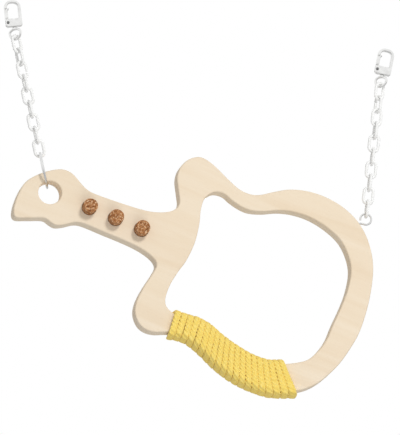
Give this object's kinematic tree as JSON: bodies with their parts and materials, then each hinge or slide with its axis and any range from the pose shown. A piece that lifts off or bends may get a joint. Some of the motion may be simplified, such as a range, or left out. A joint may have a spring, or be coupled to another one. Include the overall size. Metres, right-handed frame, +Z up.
{
  "type": "hanging bird perch",
  "caption": "Guitar-shaped wooden perch board for a pet bird, hung in a cage by plastic chains with swivel snap hooks, with a rope-wound rail to stand on and cork plugs to chew.",
  "frame": {"origin": "middle of the flat seat inside the top of the left hook, where it hangs on the cage bar", "axes": "+X from the left hook towards the right hook, -Y out of the board's front face, +Z up"},
  "size_m": [0.3138, 0.0313, 0.3123],
  "materials": {
    "wood": "bare sanded pale wood with faint grain",
    "cork": "natural cork with specks",
    "rope": "twisted yellow cotton rope",
    "chain": "moulded white plastic",
    "plated": "bright nickel plate",
    "steel": "drawn steel wire"
  },
  "bodies": {
    "swivel_eyes": {"left_swivel_eye": "plated", "right_swivel_eye": "plated"},
    "left_hook": {"left_hook_frame": "plated", "left_gate_rivet": "steel", "left_gate_spring": "steel"},
    "left_gate": {"left_gate": "plated"},
    "left_top_link": {"left_link_1": "chain"},
    "left_chain": {"left_link_2": "chain"},
    "right_hook": {"right_hook_frame": "plated", "right_gate_rivet": "steel", "right_gate_spring": "steel"},
    "right_gate": {"right_gate": "plated"},
    "right_top_link": {"right_link_1": "chain"},
    "right_chain": {"right_link_2": "chain"},
    "board": {"guitar_board": "wood", "cork_plug_1": "cork", "cork_plug_2": "cork", "cork_plug_3": "cork", "perch_rope": "rope", "screw_eye": "steel"},
    "head_ring": {"head_ring": "steel"},
    "left_link_3": {"left_link_3": "chain"},
    "left_link_4": {"left_link_4": "chain"},
    "left_link_5": {"left_link_5": "chain"},
    "left_link_6": {"left_link_6": "chain"},
    "left_link_7": {"left_link_7": "chain"},
    "left_link_8": {"left_link_8": "chain"},
    "left_link_9": {"left_link_9": "chain"},
    "right_link_3": {"right_link_3": "chain"},
    "right_link_4": {"right_link_4": "chain"},
    "right_link_5": {"right_link_5": "chain"},
    "right_link_6": {"right_link_6": "chain"},
    "right_link_7": {"right_link_7": "chain"},
    "right_link_8": {"right_link_8": "chain"},
    "right_link_9": {"right_link_9": "chain"},
    "right_link_10": {"right_link_10": "chain"}
  },
  "joints": [
    {"name": "left_swivel", "type": "hinge", "parent": "swivel_eyes", "child": "left_hook", "pos_m": [0, 0, 0], "axis": [-0.1236, 0, 0.9923], "continuous": true},
    {"name": "left_gate_pivot", "type": "hinge", "parent": "left_hook", "child": "left_gate", "pos_m": [-0.00303, 0, -0.0161], "axis": [0, 1, 0], "range_deg": [0, 25], "stiffness_Nm_per_rad": 0.02, "springref_deg": -17.19},
    {"name": "right_swivel", "type": "hinge", "parent": "swivel_eyes", "child": "right_hook", "pos_m": [0.3018, 0, -0.02757], "axis": [0.1857, 0, 0.9826], "continuous": true},
    {"name": "right_gate_pivot", "type": "hinge", "parent": "right_hook", "child": "right_gate", "pos_m": [0.29399, 0, -0.04198], "axis": [0, 1, 0], "range_deg": [0, 25], "stiffness_Nm_per_rad": 0.02, "springref_deg": -17.19},
    {"name": "swing", "type": "hinge", "parent": "swivel_eyes", "child": "left_top_link", "pos_m": [0.00358, 0, -0.02878], "axis": [0.9957, 0, -0.0928], "range_deg": [-25, 25]},
    {"name": "right_swing", "type": "hinge", "parent": "swivel_eyes", "child": "right_top_link", "pos_m": [0.29641, 0, -0.05607], "axis": [0.9957, 0, -0.0928], "range_deg": [-25, 25]},
    {"name": "sway", "type": "hinge", "parent": "left_top_link", "child": "left_chain", "pos_m": [0.00581, 0, -0.03909], "axis": [0, 1, 0], "range_deg": [-10, 10]},
    {"name": "board_sway", "type": "hinge", "parent": "left_chain", "child": "board", "pos_m": [0.0293, 0, -0.14773], "axis": [0, 1, 0], "range_deg": [-11.4, 11.4]},
    {"name": "right_sway", "type": "hinge", "parent": "right_top_link", "child": "right_chain", "pos_m": [0.29527, 0, -0.06656], "axis": [0, 1, 0], "range_deg": [-10.9, 10.9]},
    {"name": "ring_spin", "type": "hinge", "parent": "left_chain", "child": "head_ring", "pos_m": [0.02634, 0, -0.13405], "axis": [0.9626, -0.1736, 0.2081], "continuous": true},
    {"name": "left_twist_3", "type": "hinge", "parent": "left_chain", "child": "left_link_3", "pos_m": [0.00893, 0, -0.05351], "axis": [-0.2113, 0, 0.9774], "range_deg": [-5, 5]},
    {"name": "left_twist_4", "type": "hinge", "parent": "left_chain", "child": "left_link_4", "pos_m": [0.01119, 0, -0.06396], "axis": [-0.2113, 0, 0.9774], "range_deg": [-10, 10]},
    {"name": "left_twist_5", "type": "hinge", "parent": "left_chain", "child": "left_link_5", "pos_m": [0.01345, 0, -0.07442], "axis": [-0.2113, 0, 0.9774], "range_deg": [-15, 15]},
    {"name": "left_twist_6", "type": "hinge", "parent": "left_chain", "child": "left_link_6", "pos_m": [0.01571, 0, -0.08488], "axis": [-0.2113, 0, 0.9774], "range_deg": [-20, 20]},
    {"name": "left_twist_7", "type": "hinge", "parent": "left_chain", "child": "left_link_7", "pos_m": [0.01798, 0, -0.09534], "axis": [-0.2113, 0, 0.9774], "range_deg": [-15, 15]},
    {"name": "left_twist_8", "type": "hinge", "parent": "left_chain", "child": "left_link_8", "pos_m": [0.02024, 0, -0.1058], "axis": [-0.2113, 0, 0.9774], "range_deg": [-10, 10]},
    {"name": "left_twist_9", "type": "hinge", "parent": "left_chain", "child": "left_link_9", "pos_m": [0.0225, 0, -0.11626], "axis": [-0.2113, 0, 0.9774], "range_deg": [-5, 5]},
    {"name": "right_twist_3", "type": "hinge", "parent": "right_chain", "child": "right_link_3", "pos_m": [0.29368, 0, -0.08122], "axis": [0.108, 0, 0.9942], "range_deg": [-5, 5]},
    {"name": "right_twist_4", "type": "hinge", "parent": "right_chain", "child": "right_link_4", "pos_m": [0.29252, 0, -0.09186], "axis": [0.108, 0, 0.9942], "range_deg": [-10, 10]},
    {"name": "right_twist_5", "type": "hinge", "parent": "right_chain", "child": "right_link_5", "pos_m": [0.29137, 0, -0.1025], "axis": [0.108, 0, 0.9942], "range_deg": [-15, 15]},
    {"name": "right_twist_6", "type": "hinge", "parent": "right_chain", "child": "right_link_6", "pos_m": [0.29021, 0, -0.11313], "axis": [0.108, 0, 0.9942], "range_deg": [-20, 20]},
    {"name": "right_twist_7", "type": "hinge", "parent": "right_chain", "child": "right_link_7", "pos_m": [0.28906, 0, -0.12377], "axis": [0.108, 0, 0.9942], "range_deg": [-16, 16]},
    {"name": "right_twist_8", "type": "hinge", "parent": "right_chain", "child": "right_link_8", "pos_m": [0.2879, 0, -0.13441], "axis": [0.108, 0, 0.9942], "range_deg": [-12, 12]},
    {"name": "right_twist_9", "type": "hinge", "parent": "right_chain", "child": "right_link_9", "pos_m": [0.28674, 0, -0.14505], "axis": [0.108, 0, 0.9942], "range_deg": [-8, 8]},
    {"name": "right_twist_10", "type": "hinge", "parent": "right_chain", "child": "right_link_10", "pos_m": [0.28559, 0, -0.15568], "axis": [0.108, 0, 0.9942], "range_deg": [-4, 4]}
  ],
  "couplings": [
    {"joint": "right_swing", "follows": "swing", "ratio": 1},
    {"joint": "board_sway", "follows": "sway", "ratio": -1.1372},
    {"joint": "right_sway", "follows": "sway", "ratio": 1.0903},
    {"joint": "left_twist_3", "follows": "left_twist_6", "ratio": 0.25},
    {"joint": "left_twist_4", "follows": "left_twist_6", "ratio": 0.5},
    {"joint": "left_twist_5", "follows": "left_twist_6", "ratio": 0.75},
    {"joint": "left_twist_7", "follows": "left_twist_6", "ratio": 0.75},
    {"joint": "left_twist_8", "follows": "left_twist_6", "ratio": 0.5},
    {"joint": "left_twist_9", "follows": "left_twist_6", "ratio": 0.25},
    {"joint": "right_twist_3", "follows": "right_twist_6", "ratio": 0.25},
    {"joint": "right_twist_4", "follows": "right_twist_6", "ratio": 0.5},
    {"joint": "right_twist_5", "follows": "right_twist_6", "ratio": 0.75},
    {"joint": "right_twist_7", "follows": "right_twist_6", "ratio": 0.8},
    {"joint": "right_twist_8", "follows": "right_twist_6", "ratio": 0.6},
    {"joint": "right_twist_9", "follows": "right_twist_6", "ratio": 0.4},
    {"joint": "right_twist_10", "follows": "right_twist_6", "ratio": 0.2}
  ]
}
